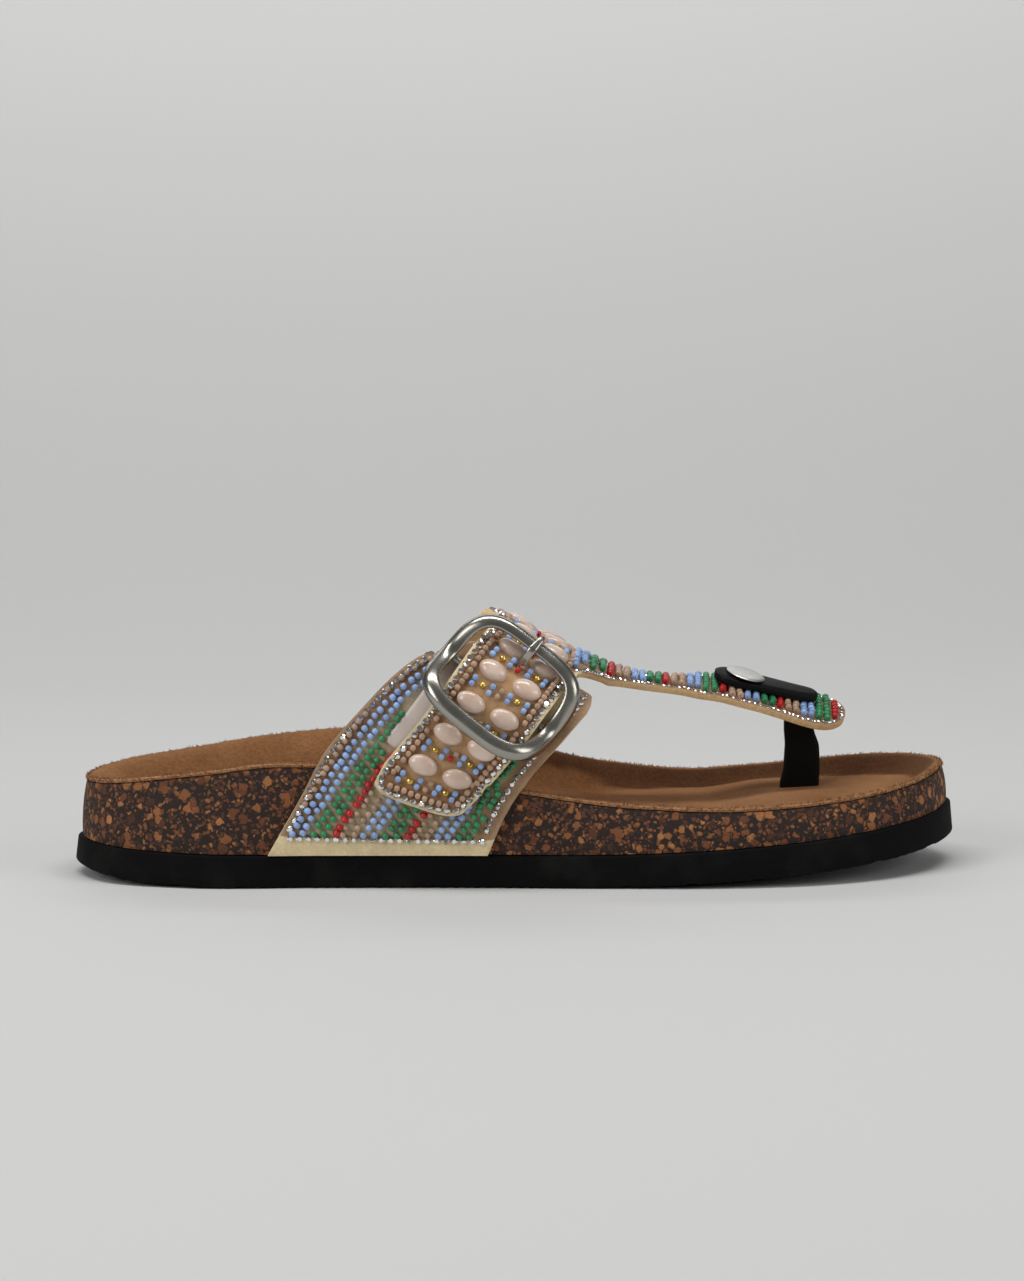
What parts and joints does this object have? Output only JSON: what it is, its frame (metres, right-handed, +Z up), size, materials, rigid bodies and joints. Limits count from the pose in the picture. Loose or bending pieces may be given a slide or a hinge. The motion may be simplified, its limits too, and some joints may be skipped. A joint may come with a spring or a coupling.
{
  "type": "toe post sandal",
  "caption": "Right-foot toe post sandal: cork footbed with a suede insole on a flat foam sole, and a beaded instep strap that buckles to a side panel and runs on to the toe post.",
  "frame": {"origin": "on the floor under the middle of the sandal's bounding box", "axes": "+X from heel to toe, -Y to the outer side of the foot, +Z up"},
  "size_m": [0.2564, 0.0969, 0.0765],
  "materials": {
    "eva_black": "matte moulded foam",
    "cork": "pressed cork granules, sealed",
    "suede_tan": "suede nap",
    "beaded_felt": "felt backing with sewn seed beads",
    "nickel": "satin nickel plate",
    "moulded_black": "satin moulded plastic",
    "clear_vinyl": "cloudy clear vinyl",
    "pink_stone": "polished oval stones"
  },
  "bodies": {
    "root": {"buckle_frame": "nickel", "buckle_prong": "nickel", "buckle_tab": "clear_vinyl", "footbed": "cork", "insole": "suede_tan", "outsole": "eva_black", "rivet": "nickel", "side_panel": "beaded_felt", "stone_01": "pink_stone", "stone_02": "pink_stone", "stone_03": "pink_stone", "stone_04": "pink_stone", "stone_05": "pink_stone", "stone_06": "pink_stone", "stone_07": "pink_stone", "stone_08": "pink_stone", "stone_09": "pink_stone", "stone_10": "pink_stone", "stone_11": "pink_stone", "stone_12": "pink_stone", "stone_13": "pink_stone", "stone_14": "pink_stone", "stone_15": "pink_stone", "stone_16": "pink_stone", "stone_17": "pink_stone", "stone_18": "pink_stone", "stone_19": "pink_stone", "stone_20": "pink_stone", "stone_21": "pink_stone", "stone_22": "pink_stone", "stone_23": "pink_stone", "stone_24": "pink_stone", "stone_25": "pink_stone", "stone_26": "pink_stone", "stone_27": "pink_stone", "stone_28": "pink_stone", "t_strap": "beaded_felt", "toe_post": "moulded_black"}
  },
  "joints": []
}
